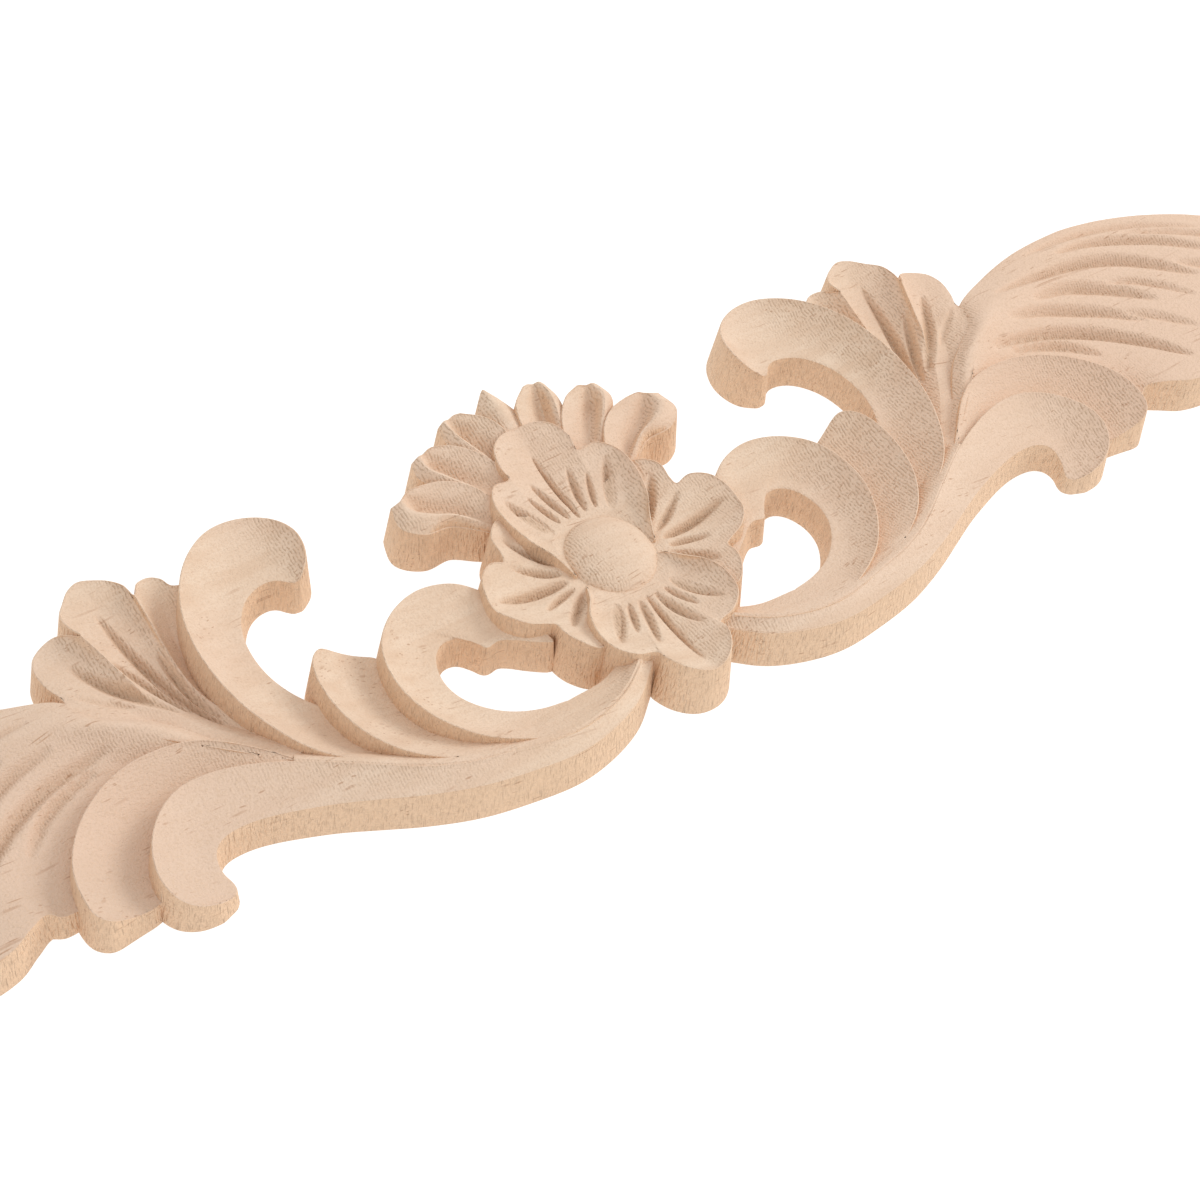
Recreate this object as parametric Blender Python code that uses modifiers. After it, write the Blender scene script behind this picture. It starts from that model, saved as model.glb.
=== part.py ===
"""Floral wooden applique: a long onlay carved from one board of pale rubberwood.

A four-petalled flower stands in the middle under a small palmette. To each side run a stem,
a C-scroll, a small leaf, a tall curl, a fan of three lobes and a long acanthus leaf.
The right half is modelled and each of its pieces has a twin on the left. Lengths below are millimetres: X runs along the
length, Y points to the palmette and Z up out of the flat back. The origin is the middle
of the flower on the back.
"""
import math

import bmesh
import bpy
from mathutils import Vector

MM = 0.001

# driving heights above the back
CREST = 9.8          # crisp outer rims of the leaves
FLOWER_RIM = 10.1    # rims of the petals
HOLE_EDGE = 6.2      # leaf edges beside the openings
LEAF_EDGE = 6.6      # thin upper edge of the long leaf
STEM_RIDGE = 9.0     # crease along the stem
STEM_EDGE = 7.4      # lower edge of the stem
HOOK_RIM = 9.3       # crests of the hook and the lobe behind it
FOOT = 5.0           # bottom of the step where one leaf comes out from under another

# flower and palmette
BOSS_WIDE = 14.8
BOSS_TALL = 16.0
BOSS_FOOT = 6.7
BOSS_TOP = 9.4
SPOON_RIM = 10.1
SPOON_DIP = 2.9

# the long leaf ends here, beyond the middle of the flower
REACH = 153.0

DRAFT = 0.10         # the sides lean out by this much of their height
NOTCH_DRAFT = 0.01   # sides of a piece whose outline has notches
BELOW = 1.0          # the pieces run this far below the back before they are trimmed
WOOD = (0.83, 0.66, 0.50, 1.0)


def clear_scene():
    for item in list(bpy.data.objects):
        bpy.data.objects.remove(item, do_unlink=True)


def new_collection(name):
    group = bpy.data.collections.new(name)
    bpy.context.scene.collection.children.link(group)
    return group


def spline(points, count):
    """Positions at count + 1 even steps on a smooth curve through the points."""
    pts = [Vector(p) for p in points]
    pts = [2 * pts[0] - pts[1]] + pts + [2 * pts[-1] - pts[-2]]
    spans = len(pts) - 3
    out = []
    for step in range(count + 1):
        place = step * spans / count
        k = min(int(place), spans - 1)
        t = place - k
        a, b, c, d = pts[k:k + 4]
        out.append(0.5 * (2 * b + (c - a) * t + (2 * a - 5 * b + 4 * c - d) * t ** 2
                          + (3 * b - a - 3 * c + d) * t ** 3))
    return out


def scooped(outer, inner, share=0.27):
    """Three rails of a leaf: its crest, a hollow halfway, and its low inner edge."""
    middle = []
    for far, near in zip(outer, inner):
        z = near[2] + (far[2] - near[2]) * share
        middle.append(((far[0] + near[0]) / 2, (far[1] + near[1]) / 2, z))
    return [outer, middle, inner]


def outward(ring, index):
    """Unit vector in the plane that points out of a ring of positions at one of them."""
    before = ring[index - 1]
    after = ring[(index + 1) % len(ring)]
    tangent = Vector((after.x - before.x, after.y - before.y, 0.0))
    return Vector((tangent.y, -tangent.x, 0.0)).normalized()


def ring_area(ring):
    return sum(a.x * b.y - b.x * a.y for a, b in zip(ring, ring[1:] + ring[:1])) / 2


def solid_from_grid(name, grid, level, draft):
    """A closed block under a grid of positions, with leaning sides and a flat underside."""
    rows = len(grid)
    columns = len(grid[0])
    mesh = bmesh.new()
    bmesh.ops.create_grid(mesh, x_segments=rows - 1, y_segments=columns - 1, size=0.5)
    mesh.verts.ensure_lookup_table()
    table = {}
    for vert in mesh.verts:
        i = round((vert.co.x + 0.5) * (rows - 1))
        j = round((vert.co.y + 0.5) * (columns - 1))
        table[i, j] = vert
    for (i, j), vert in table.items():
        vert.co = grid[i][j]
    keys = [(i, 0) for i in range(rows)]
    keys += [(rows - 1, j) for j in range(1, columns)]
    keys += [(i, columns - 1) for i in range(rows - 2, -1, -1)]
    keys += [(0, j) for j in range(columns - 2, 0, -1)]
    ring = [grid[i][j] for i, j in keys]
    side = 1.0 if ring_area(ring) > 0 else -1.0
    edges = [edge for edge in mesh.edges if edge.is_boundary]
    made = bmesh.ops.extrude_edge_only(mesh, edges=edges)
    lower = [item for item in made["geom"] if isinstance(item, bmesh.types.BMVert)]
    place = {tuple(round(c, 5) for c in ring[k]): k for k in range(len(ring))}
    for vert in lower:
        k = place[tuple(round(c, 5) for c in vert.co)]
        lean = (vert.co.z + level) * draft
        vert.co = vert.co + outward(ring, k) * side * lean
        vert.co.z = -level
    rim = [edge for edge in mesh.edges if edge.is_boundary]
    bmesh.ops.contextual_create(mesh, geom=rim)
    bmesh.ops.recalc_face_normals(mesh, faces=mesh.faces)
    bmesh.ops.scale(mesh, vec=(MM, MM, MM), verts=mesh.verts)
    data = bpy.data.meshes.new(name)
    mesh.to_mesh(data)
    mesh.free()
    return bpy.data.objects.new(name, data)


class Carving:
    """Collects the blocks that are joined into the one carved solid."""

    def __init__(self, group):
        self.group = group
        self.count = 0

    def add(self, item, paired):
        """Takes in a block and, where it is paired, its twin on the other side."""
        item.hide_render = True
        item.display_type = "WIRE"
        self.group.objects.link(item)
        self.count += 1
        if paired:
            twin = item.modifiers.new("twin", "MIRROR")
            twin.use_mirror_merge = False
            twin.merge_threshold = 0.00005
        return item

    def rails(self, name, rails, along, across, extra=None, draft=DRAFT, paired=True):
        """A block whose top runs through the rails, with extra(u, v) added to its height."""
        lines = [spline(rail, along) for rail in rails]
        grid = []
        for i in range(along + 1):
            row = spline([line[i] for line in lines], across)
            if extra:
                for j, point in enumerate(row):
                    point.z += extra(i / along, j / across)
            grid.append(row)
        level = BELOW + 0.07 * self.count
        return self.add(solid_from_grid(name, grid, level, draft), paired)

    def spoon(self, name, base, bend, tip, half, along=7, across=6, rim=SPOON_RIM, dip=SPOON_DIP):
        """A lobe of the palmette: a hollow with a raised rim that rolls down at its outer edge."""
        base, bend, tip = Vector(base), Vector(bend), Vector(tip)
        grid = []
        for i in range(along + 1):
            s = i / along
            axis = (1 - s) ** 2 * base + 2 * s * (1 - s) * bend + s * s * tip
            heading = ((1 - s) * (bend - base) + s * (tip - bend)).normalized()
            across_axis = Vector((-heading.y, heading.x))
            width = half * (0.62 + 0.55 * math.sin(math.pi * min(s, 1.0) * 0.72))
            if s > 0.8:
                width *= math.sqrt(max(0.0, 1.0 - ((s - 0.8) / 0.2 * 0.93) ** 2))
            row = []
            for j in range(across + 1):
                t = 2 * j / across - 1
                point = axis + across_axis * width * t
                reach = max(abs(t), (s - 0.25) / 0.75)
                z = rim - dip * (1 - reach ** 2)
                if reach > 0.82:
                    z -= 1.5 * (reach - 0.82) / 0.18
                row.append(Vector((point.x, point.y, z - 1.5 * (1 - s) ** 2)))
            grid.append(row)
        level = BELOW + 0.07 * self.count
        return self.add(solid_from_grid(name, grid, level, DRAFT), True)


def with_heights(places, heights):
    return [(x, y, z) for (x, y), z in zip(places, heights)]


def carve_stem(carving):
    """The stem's lower face, which goes on into the first hook."""
    ridge = [(5, -16), (9.4, -20.8), (14.5, -24.3), (20, -26), (26, -26.5), (33, -25.1), (40.5, -23.5),
             (47, -20.8), (52.5, -17.2), (57, -14.2), (61, -11.6), (66, -9.1), (70.5, -7.4), (75, -6.4),
             (79.5, -6.6), (83.3, -8.6), (86.3, -11.8), (88.1, -15.5), (88.5, -18.8), (87.4, -21.6),
             (85, -23.3), (82, -23.8)]
    edge = [(3.4, -18.2), (8.1, -22.2), (12.3, -25.6), (18, -28), (25, -29.3), (33, -28.6), (41, -27.1),
            (48.5, -24.4), (54.5, -21.6), (60, -19), (65, -17.1), (69, -15.8), (72.3, -15.1), (75, -15),
            (76.9, -15.3), (78.2, -16), (79, -17), (79.3, -18.2), (79.2, -19.6), (78.7, -20.9),
            (78.6, -22), (79.4, -23)]
    ridge_z = [8.6, 8.8] + [STEM_RIDGE] * 9 + [9.2] + [HOOK_RIM] * 5 + [9.2, 8.4, 7.0, 5.6, 4.6]
    edge_z = [7.0, 7.2] + [STEM_EDGE] * 5 + [7.2, 7.0, 6.7, 6.5, 6.3, 6.2, 6.1, 6.0, 5.8, 5.4, 4.8, 4.2,
                                             3.7, 3.3, 3.4]
    carving.rails("stem_and_hook", scooped(with_heights(ridge, ridge_z), with_heights(edge, edge_z), 0.36),
                  40, 3)


def carve_upper_strip(carving):
    """The stem's upper face, from the opening up to the crease and just under it."""
    upper = [(4, -14, 6.2), (10.5, -17.6, 6.3), (15, -19.4, 6.4), (21, -19.9, 6.5), (27.5, -18.8, 6.5)]
    crease = [(6, -17.5, 8.5), (9.6, -20.8, 8.7), (14.8, -24.2, 8.9), (22, -26.3, 8.9), (33, -25.0, 8.9)]
    under = [(5.5, -18.5, 7.0), (9, -21.6, 7.2), (14.2, -25.2, 7.4), (22, -27.3, 7.4), (33, -26, 7.4)]
    carving.rails("stem_upper_face", [upper, crease, under], 10, 2)


def carve_scroll(carving):
    """The C-scroll that hangs its nib into the opening beside the flower."""
    outer = [(20, 1, 8.2), (24, 4.8, 9.0), (30, 7.0, 9.4), (36, 5.8, 9.7), (40.7, 2.0, CREST),
             (43, -3.3, CREST), (43.2, -9, CREST), (41.5, -14.6, 9.6), (37.5, -20.1, 9.3), (31, -24.4, 9.0)]
    inner = [(18, -9, 6.8), (25.9, -5.6, HOLE_EDGE), (28.4, -2.2, HOLE_EDGE), (31.4, -1.5, HOLE_EDGE),
             (34, -3, HOLE_EDGE), (35.5, -6.6, HOLE_EDGE), (35.3, -10.6, 6.3), (33.4, -14.2, 6.4),
             (30, -17.4, 6.5), (25.5, -19.4, 6.5)]
    carving.rails("c_scroll", scooped(outer, inner), 27, 3)


def carve_small_leaf(carving):
    """The short leaf that comes out from under the scroll."""
    outer = [(49.4, 4.8, 9.1), (51.8, 2.9, 9.6), (53.1, -1.4, CREST), (53.2, -6, CREST), (52.2, -11, 9.7),
             (50, -15.5, 9.5), (46.8, -19.6, 9.3), (41, -23.2, 9.1)]
    inner = [(41, 1.4, 4.8), (41.3, -1.8, FOOT), (41.6, -5, FOOT), (41.5, -9, FOOT), (40, -13.7, 5.4),
             (37.5, -17.6, 6.2), (34, -21, 7.3), (30, -24.2, 8.5)]
    carving.rails("small_leaf", scooped(outer, inner), 16, 3)


def carve_curl(carving):
    """The tall curl with its cupped end."""
    outer = [(43.6, 19.2, 7.4), (41.9, 22.3, 9.5), (41.4, 26.5, CREST), (43.3, 30.5, 9.3), (47.5, 33, 8.9),
             (52.5, 33.2, 9.0), (57.3, 30.6, 9.6), (61.3, 26.2, 10), (64.2, 20.5, 10), (65.6, 14, 10),
             (65.7, 7.5, 10), (64.8, 1, 10), (62.9, -4.6, CREST), (60.2, -9.6, 9.5), (56.4, -14.3, 9.2),
             (50, -18.8, 9.1)]
    inner = [(45.2, 19.5, 6.8), (46.2, 20.4, 6.6), (47.2, 21.1, 6.5), (48.4, 21.5, 6.4), (49.8, 21.6, 6.3),
             (51.3, 21.3, 6.2), (53.2, 20.3, HOLE_EDGE), (55.1, 18.3, HOLE_EDGE), (56.6, 15.6, HOLE_EDGE),
             (57.6, 11.5, HOLE_EDGE), (57.4, 6, HOLE_EDGE), (55.4, 0.8, 5.8), (51.3, -4.5, FOOT),
             (50.3, -10.5, 5.4), (46.8, -17, 6.8), (43, -21.4, 8.2)]
    carving.rails("tall_curl", scooped(outer, inner), 32, 3)


def fan_flutes(u, v):
    """Three hollows between the fan's ridges, deepest near the lobes' ends."""
    return -1.1 * abs(math.sin(3.2 * math.pi * u)) * math.sin(math.pi * min(1.0, 0.2 + 0.9 * v))


def carve_fan(carving):
    """The fan of three lobes behind the curl, up to the midrib of the long leaf."""
    outer = [(59.5, 27.5, 7.0), (61.9, 29.2, 7.0), (64.2, 31, 7.0), (66.5, 30.3, 7.4), (68, 28.3, 8.3),
             (68.4, 31, 7.4), (70.7, 33.6, 7.0), (73.8, 35.5, 7.0), (76.8, 33.5, 7.2), (79.2, 29.8, 8.0),
             (78.8, 25.0, 9.1), (80.8, 27.1, 7.6), (83.8, 27, 7.0), (86.2, 25.2, 7.0), (86.8, 21.6, 6.9),
             (85.7, 16.8, 6.9), (87, 12, 7.8)]
    last = len(outer) - 1
    middle = []
    inner = []
    for k in range(last + 1):
        s = k / last
        middle.append((64.0 + 13.8 * s, 10.0 - 7.0 * s ** 2, 4.6 + 3.9 * s ** 1.5))
        inner.append((61.3 + 3.9 * s, -3.0 - 8.5 * s, 6.4 + 1.8 * s))
    carving.rails("fan", [outer, middle, inner], 34, 5, fan_flutes, NOTCH_DRAFT)


def leaf_veins(u, v):
    """Shallow gouges that run along the long leaf."""
    window = math.sin(math.pi * min(1.0, max(0.0, (u - 0.12) / 0.85)))
    return -0.5 * window * max(0.0, math.sin(6 * math.pi * v)) if 0.1 < v < 0.8 else 0.0


def carve_long_leaf(carving):
    """The long acanthus leaf, from its midrib to its drooping tip. Each line starts just
    behind the midrib, where the fan covers it."""
    upper = [(84.2, 14.5, 5.0), (85.8, 16.3, 6.8), (94, 19.8, 6.7), (103.5, 22.2, LEAF_EDGE),
             (113.5, 22.8, LEAF_EDGE), (123, 21.5, LEAF_EDGE), (132, 18.5, LEAF_EDGE),
             (140.8, 13.9, LEAF_EDGE), (148, 8, 6.4), (REACH - 0.5, 1.5, 6.2)]
    ridge = [(82.0, 10.6, 7.4), (84, 10.1, 9.0), (92, 12.9, 8.8), (101, 14.6, 8.5), (110, 15.0, 8.3),
             (120, 13.7, 8.2), (129.5, 10.9, 8.1), (138, 6.7, 7.8), (146, 2.3, 7.4), (REACH, -1, 6.6)]
    body = [(75.0, 5.3, 7.4), (77, 4.4, 9.0), (87, 6.3, 7.3), (96.5, 7.3, 6.8), (106.5, 7.2, 6.8),
            (116.5, 5.5, 7.0), (126, 3, 7.1), (135, -0.5, 7.0), (144, -3, 6.8), (REACH - 0.5, -3, 6.3)]
    lower = [(67.4, -4.2, 7.4), (69.3, -4.8, 9.0), (79, -3.5, 6.0), (91, -4.5, 5.0), (101.5, -6, 5.6),
             (111, -7.5, 6.4), (120.5, -8, 6.8), (130.5, -8, 6.9), (141, -7, 6.7), (REACH - 2, -4.5, 6.3)]
    outline = [(63.2, -10.2, 7.4), (65, -11.3, 8.4), (76, -9, 5.5), (90, -13, 4.2), (101.5, -14.6, 4.6),
               (108.5, -16.8, 6.8), (117, -17.8, 7.0), (127, -14.6, 7.0), (139, -10.2, 6.8),
               (REACH - 4, -6, 6.4)]
    carving.rails("long_leaf", [upper, ridge, body, lower, outline], 24, 10, leaf_veins)


def carve_second_lobe(carving):
    """The lobe between the hook and the long leaf."""
    outer = [(61, -11.2, 9.2), (65, -7.2, 9.1), (69.5, -2.8, 9.1), (74, 0, 9.1), (79, 0.9, 9.1),
             (84, 0.6, 9.1), (88.5, -1, 9.1), (92.7, -3.8, 9.1), (96, -7.3, 9.1), (98.2, -11.3, 9.1),
             (98.9, -15.3, 8.8), (98.6, -18.6, 8.0), (96.9, -20.2, 7.2)]
    inner = [(60, -12.3, 8.7), (64.5, -10.3, 8.2), (69, -9, 7.4), (73, -8.2, 6.6), (76.5, -8, 5.8),
             (79.5, -8.4, 5.2), (82, -10, 4.6), (84, -12, 4.2), (85.5, -14, 4.0), (86.3, -16, 3.9),
             (86.9, -17.5, 3.9), (87.6, -18.6, 3.9), (90, -19.6, 4.2)]
    carving.rails("second_lobe", scooped(outer, inner), 20, 3)


def petal_dip(u, v):
    """A shallow scoop down each petal's middle and between its side lobes."""
    crease = max(0.0, 1.0 - abs(u - 0.5) / 0.12)
    return -(0.9 * crease + 0.4) * math.sin(math.pi * v)


def boss_ring(start, end, count):
    """Points just inside the boss, between two angles in degrees."""
    out = []
    for k in range(count):
        a = math.radians(start + (end - start) * k / (count - 1))
        out.append((0.44 * BOSS_WIDE * math.cos(a), 0.44 * BOSS_TALL * math.sin(a), BOSS_FOOT))
    return out


def mirrored(points):
    return points + [(-x, y, z) for x, y, z in reversed(points[:-1])]


def carve_petal(carving, name, rim, start, end, paired):
    ring = boss_ring(start, end, len(rim))
    carving.rails(name, [rim, ring], 3 * (len(rim) - 1) // 2, 3, petal_dip, NOTCH_DRAFT, paired)


def carve_flower(carving):
    """Four petals of three lobes each, the upper and lower ones over the side ones."""
    side = [(7, 12.5, 7.4), (12.3, 13.4, 8.8), (14.6, 12, 9.7), (16.2, 9.8, 9.8), (16.2, 7, 9.3),
            (16.6, 5.7, 9.0), (19, 5.9, 9.7), (21.8, 3.9, FLOWER_RIM), (23.1, 0.6, 9.8), (23.2, -2, 9.4),
            (22.3, -4.7, FLOWER_RIM), (20.2, -7, 9.8), (17.4, -8.1, 9.2), (16.4, -8.6, 9.0),
            (16.4, -10.8, 9.5), (15.5, -13.4, 9.8), (13.2, -15.8, 9.2), (8, -14.5, 7.4)]
    carve_petal(carving, "side_petal", side, 62, -70, True)
    upper = [(7.6, -1.5, 7.6), (9, 2.2, 9.0), (11, 6, 9.8), (12.2, 11, FLOWER_RIM), (12, 15.6, FLOWER_RIM),
             (9.8, 18.9, 9.7), (6.6, 19.4, 9.1), (6.8, 22, 9.8), (5.6, 25.4, FLOWER_RIM),
             (3, 27.3, 9.9), (0, 27.7, 9.4)]
    carve_petal(carving, "upper_petal", mirrored(upper), -8, 188, False)
    lower = [(7.4, -4, 7.6), (9, -7, 8.9), (11.3, -10.2, 9.8), (12.3, -14, FLOWER_RIM),
             (11.6, -17.6, FLOWER_RIM), (9, -20, 9.7), (6.1, -20.7, 9.1), (5.9, -22.6, 9.8),
             (4.6, -25.4, FLOWER_RIM), (2.4, -27.4, 9.9), (0, -28, 9.4)]
    carve_petal(carving, "lower_petal", mirrored(lower), -22, -158, False)


def carve_boss(carving):
    """The domed middle of the flower on a straight core."""
    dome = bmesh.new()
    bmesh.ops.create_uvsphere(dome, u_segments=20, v_segments=8, radius=1.0)
    spread = Vector((BOSS_WIDE / 2, BOSS_TALL / 2, BOSS_TOP - BOSS_FOOT + 0.6)) * MM
    bmesh.ops.scale(dome, vec=spread, verts=dome.verts)
    bmesh.ops.translate(dome, vec=(0, 0, (BOSS_FOOT - 0.6) * MM), verts=dome.verts)
    data = bpy.data.meshes.new("boss_dome")
    dome.to_mesh(data)
    dome.free()
    carving.add(bpy.data.objects.new("boss_dome", data), False)
    core = bmesh.new()
    height = BOSS_FOOT - 0.6 + 2 * BELOW
    bmesh.ops.create_cone(core, cap_ends=True, segments=24, radius1=1.0, radius2=1.0, depth=1.0)
    bmesh.ops.scale(core, vec=(0.46 * BOSS_WIDE * MM, 0.46 * BOSS_TALL * MM, height * MM), verts=core.verts)
    bmesh.ops.translate(core, vec=(0, 0, (height / 2 - 2 * BELOW) * MM), verts=core.verts)
    data = bpy.data.meshes.new("boss_core")
    core.to_mesh(data)
    core.free()
    carving.add(bpy.data.objects.new("boss_core", data), False)


def carve_palmette(carving):
    """Seven lobes that stand out from behind the flower."""
    carving.spoon("palmette_outer_lobe", (7, 13), (17, 20.2), (26.6, 21.2), 3.7)
    carving.spoon("palmette_third_lobe", (5.5, 15), (11.2, 24), (18, 31.2), 4.0)
    carving.spoon("palmette_second_lobe", (4.2, 17), (4.8, 27.5), (8.8, 36), 3.7)
    edge = [(4.2, 22, 6.2), (3.9, 27, 7.4), (3.4, 31.5, 7.8), (2.2, 35.2, 8.2), (0.5, 37.1, 9.2)]
    spine = [(0, 22, 7.6), (0, 27, 9.4), (0, 31.5, 9.9), (0, 35.4, 9.9), (0, 37.3, 9.7)]
    other = [(-x, y, z) for x, y, z in edge]
    carving.rails("palmette_middle_lobe", [edge, spine, other], 6, 4, paired=False)


def trimming_block():
    """Takes off everything below the flat back."""
    block = bmesh.new()
    bmesh.ops.create_cube(block, size=1.0)
    bmesh.ops.scale(block, vec=(0.4, 0.12, 0.01), verts=block.verts)
    bmesh.ops.translate(block, vec=(0, 0, -0.005), verts=block.verts)
    data = bpy.data.meshes.new("trimming_block")
    block.to_mesh(data)
    block.free()
    return bpy.data.objects.new("trimming_block", data)


def wood_material():
    material = bpy.data.materials.new("rubberwood")
    material.use_nodes = True
    shader = material.node_tree.nodes["Principled BSDF"]
    shader.inputs["Base Color"].default_value = WOOD
    shader.inputs["Roughness"].default_value = 0.75
    shader.inputs["Metallic"].default_value = 0.0
    return material


def joined_solid(group, blocks, trim):
    """The carved solid: a small starting block under the flower, joined with the leaves and trimmed."""
    seed = bmesh.new()
    bmesh.ops.create_cube(seed, size=1.0)
    bmesh.ops.scale(seed, vec=(0.006, 0.006, 0.005), verts=seed.verts)
    bmesh.ops.translate(seed, vec=(0, 0, 0.0021), verts=seed.verts)
    data = bpy.data.meshes.new("floral_applique")
    seed.to_mesh(data)
    seed.free()
    data.materials.append(wood_material())
    solid = bpy.data.objects.new("floral_applique", data)
    group.objects.link(solid)
    join = solid.modifiers.new("join_leaves", "BOOLEAN")
    join.operation = "UNION"
    join.operand_type = "COLLECTION"
    join.collection = blocks
    join.solver = "EXACT"
    flat = solid.modifiers.new("flat_back", "BOOLEAN")
    flat.operation = "DIFFERENCE"
    flat.object = trim
    flat.solver = "EXACT"
    return solid


def main():
    clear_scene()
    group = new_collection("floral_applique")
    blocks = new_collection("leaf_blocks")
    cutters = new_collection("cutters")
    carving = Carving(blocks)
    carve_stem(carving)
    carve_upper_strip(carving)
    carve_scroll(carving)
    carve_small_leaf(carving)
    carve_curl(carving)
    carve_fan(carving)
    carve_long_leaf(carving)
    carve_second_lobe(carving)
    carve_flower(carving)
    carve_boss(carving)
    carve_palmette(carving)
    trim = trimming_block()
    trim.hide_render = True
    trim.display_type = "WIRE"
    cutters.objects.link(trim)
    joined_solid(group, blocks, trim)


main()
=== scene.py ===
# Floral wooden applique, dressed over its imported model: the fine carving, the wood, the studio.
# Tables of places are in millimetres, in the model's own frame: X along, Y to the palmette, Z up.
import math

import bpy
import numpy as np
from mathutils import Matrix, Vector


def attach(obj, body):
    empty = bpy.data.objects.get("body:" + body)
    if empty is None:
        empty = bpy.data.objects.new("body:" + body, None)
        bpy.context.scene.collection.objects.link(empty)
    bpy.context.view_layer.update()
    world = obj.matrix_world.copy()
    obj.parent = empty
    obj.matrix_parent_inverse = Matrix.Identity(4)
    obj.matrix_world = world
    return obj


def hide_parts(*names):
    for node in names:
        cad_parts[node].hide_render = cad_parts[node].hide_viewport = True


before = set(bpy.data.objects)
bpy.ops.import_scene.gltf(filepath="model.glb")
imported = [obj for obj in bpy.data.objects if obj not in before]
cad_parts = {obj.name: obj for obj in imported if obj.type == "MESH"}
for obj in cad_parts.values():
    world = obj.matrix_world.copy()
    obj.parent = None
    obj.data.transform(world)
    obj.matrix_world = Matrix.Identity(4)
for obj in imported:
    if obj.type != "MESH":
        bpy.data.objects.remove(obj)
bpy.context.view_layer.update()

mm = 0.001

carving = {
    "rimRadius": 0.20,       # worn rounding of every crest
    "rimShoulder": 0.29,     # share of that radius at the middle of the rounding
    "draft": 0.10,           # sides lean out by this much of their height
    "below": 1.0,            # blocks start this far under the back, then they are trimmed
    "stagger": 0.07,         # each block starts this much lower than the last, so no undersides meet
    "step": 0.62,            # spacing of the carved surface
    "hollow": 1.9,           # how much a leaf is hollowed beside its crest, 1 for a plain slope
    "notchTurn": 0.12,       # an inward turn of the rim sharper than this is a notch
    "notchRoom": 0.6,        # share of the way to its neighbours that the rim may move in a notch
    "roomSlope": 0.55,       # how fast that room grows away from the notch
    "settlePasses": 24,      # rounds in which the inside of a table follows its edge
    "seedPlace": (0, 0, 0.0021),          # metres: a small block inside the flower, which the others join
    "seedSize": (0.006, 0.006, 0.005),
    "trimPlace": (0, 0, -0.005),          # metres: what is cut away below the back
    "trimSize": (0.4, 0.12, 0.01),
    "mostTriangles": 185000,
    "flatBelow": 0.8,        # what thinning lifts off the back by less than this is laid flat
    "foot": 3.0,             # no gouge reaches lower than this
    "smoothAngle": 38.0,
}

gouge = {
    "endWidth": 0.3,         # share of its width that a stroke keeps at its ends
    "swellWidth": 0.7,       # and the share that comes and goes along it
    "bowl": 1.3,             # higher is flatter at the bottom
    "lip": 1.5,              # higher meets the surface more gently
}

blocks = []


def report(text):
    print("applique:", text)


def deselectAll():
    bpy.ops.object.select_all(action="DESELECT")


def makeActive(piece):
    deselectAll()
    piece.select_set(True)
    bpy.context.view_layer.objects.active = piece


# places at even steps on a smooth curve through the points, first axis of the table
def curveThrough(points, steps):
    pts = np.asarray(points, float)
    pts = np.concatenate([2 * pts[:1] - pts[1:2], pts, 2 * pts[-1:] - pts[-2:-1]])
    gaps = np.sqrt(np.linalg.norm(np.diff(pts, axis=0), axis=-1, keepdims=True)) + 1e-6
    slopes = np.diff(pts, axis=0) / gaps
    turns = (pts[2:] - pts[:-2]) / (gaps[1:] + gaps[:-1])
    tangents = slopes[:-1] - turns + slopes[1:]
    spans = len(pts) - 3
    place = np.linspace(0.0, spans, steps + 1)
    k = np.minimum(place.astype(int), spans - 1)
    t = (place - k).reshape((-1,) + (1,) * (pts.ndim - 1))
    startPull = tangents[k] * gaps[k + 1]
    endPull = tangents[k + 1] * gaps[k + 1]
    start, end = pts[k + 1], pts[k + 2]
    return ((2 * t ** 3 - 3 * t ** 2 + 1) * start + (t ** 3 - 2 * t ** 2 + t) * startPull
            + (3 * t ** 2 - 2 * t ** 3) * end + (t ** 3 - t ** 2) * endPull)


def lengthOf(line):
    return float(np.linalg.norm(np.diff(line[:, :2], axis=0), axis=1).sum())


# table of places between rails that run side by side; the step across them may be finer
def railTable(rails, step, stepAcross=None):
    size = max(lengthOf(curveThrough(rail, 40)) for rail in rails)
    along = max(4, int(round(size / step)))
    passShade = np.stack([curveThrough(rail, along) for rail in rails])
    middle = passShade[:, along // 2]
    across = max(3, int(round(lengthOf(curveThrough(middle, 20)) / (stepAcross or step))))
    return np.swapaxes(curveThrough(passShade, across), 0, 1)


# the places round the edge of a table, in order
def edgeLoop(rows, columns):
    loop = [(k, 0) for k in range(rows)]
    loop += [(rows - 1, k) for k in range(1, columns)]
    loop += [(k, columns - 1) for k in range(rows - 2, -1, -1)]
    loop += [(0, k) for k in range(columns - 2, 0, -1)]
    return np.array(loop)


# rounds the corners of a table's outline, and lets what lies inside follow
def roundCorners(table, passes):
    rows, columns = table.shape[:2]
    loop = edgeLoop(rows, columns)
    before = table[loop[:, 0], loop[:, 1]]
    after = before.copy()
    for _ in range(passes):
        after = 0.5 * after + 0.25 * (np.roll(after, 1, axis=0) + np.roll(after, -1, axis=0))
    shift = np.zeros_like(table)
    for _ in range(carving["settlePasses"]):
        shift[loop[:, 0], loop[:, 1]] = after - before
        shift[1:-1, 1:-1] = (shift[:-2, 1:-1] + shift[2:, 1:-1] + shift[1:-1, :-2] + shift[1:-1, 2:]) / 4
    shift[loop[:, 0], loop[:, 1]] = after - before
    return table + shift


# heights between named places along 0 to 1
def between(u, stops):
    return np.interp(u, [a for a, b in stops], [b for a, b in stops])


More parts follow.
